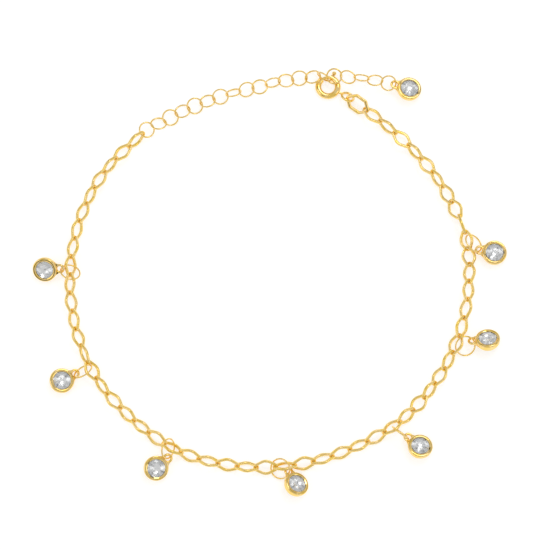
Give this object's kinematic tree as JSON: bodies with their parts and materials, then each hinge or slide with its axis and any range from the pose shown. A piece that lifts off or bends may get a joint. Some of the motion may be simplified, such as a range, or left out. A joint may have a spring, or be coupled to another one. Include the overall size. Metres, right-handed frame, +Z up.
{
  "type": "chain anklet",
  "caption": "Chain anklet of flat lozenge links with round bezel-set drops on jump rings, closed by a spring ring on an extender chain.",
  "frame": {"origin": "on the table top, under the middle of the anklet's outline as it lies closed", "axes": "+Z up from the table, +Y from the middle of the loop towards the clasp and the extender, +X to the right seen from above with the clasp at the top"},
  "size_m": [0.0946, 0.0874, 0.0042],
  "materials": {
    "gold": "gold-plated brass, polished",
    "stone": "clear faceted stone, polished"
  },
  "bodies": {
    "anklet": {"chain_run_1": "gold", "chain_run_2": "gold", "chain_run_3": "gold", "chain_run_4": "gold", "chain_run_5": "gold", "chain_run_6": "gold", "chain_run_7": "gold", "chain_run_8": "gold", "chain_run_9": "gold", "connector_link": "gold", "clasp_ring": "gold", "extender_chain": "gold", "extender_tail": "gold", "extender_ring_1": "gold", "extender_ring_15": "gold", "extender_ring_16": "gold", "extender_ring_20": "gold", "jump_ring_1": "gold", "jump_ring_2": "gold", "jump_ring_3": "gold", "jump_ring_4": "gold", "jump_ring_5": "gold", "jump_ring_6": "gold", "jump_ring_7": "gold", "drop_setting_1": "gold", "drop_setting_2": "gold", "drop_setting_3": "gold", "drop_setting_4": "gold", "drop_setting_5": "gold", "drop_setting_6": "gold", "drop_setting_7": "gold", "drop_setting_8": "gold", "drop_stone_1": "stone", "drop_stone_2": "stone", "drop_stone_3": "stone", "drop_stone_4": "stone", "drop_stone_5": "stone", "drop_stone_6": "stone", "drop_stone_7": "stone", "drop_stone_8": "stone"},
    "bolt": {"clasp_bolt": "gold"}
  },
  "joints": [
    {"name": "trigger", "type": "hinge", "parent": "anklet", "child": "bolt", "pos_m": [0.0119, 0.04045, 0.00062], "axis": [0, 0, 1], "range_deg": [-55, 0], "stiffness_Nm_per_rad": 0.0008}
  ]
}
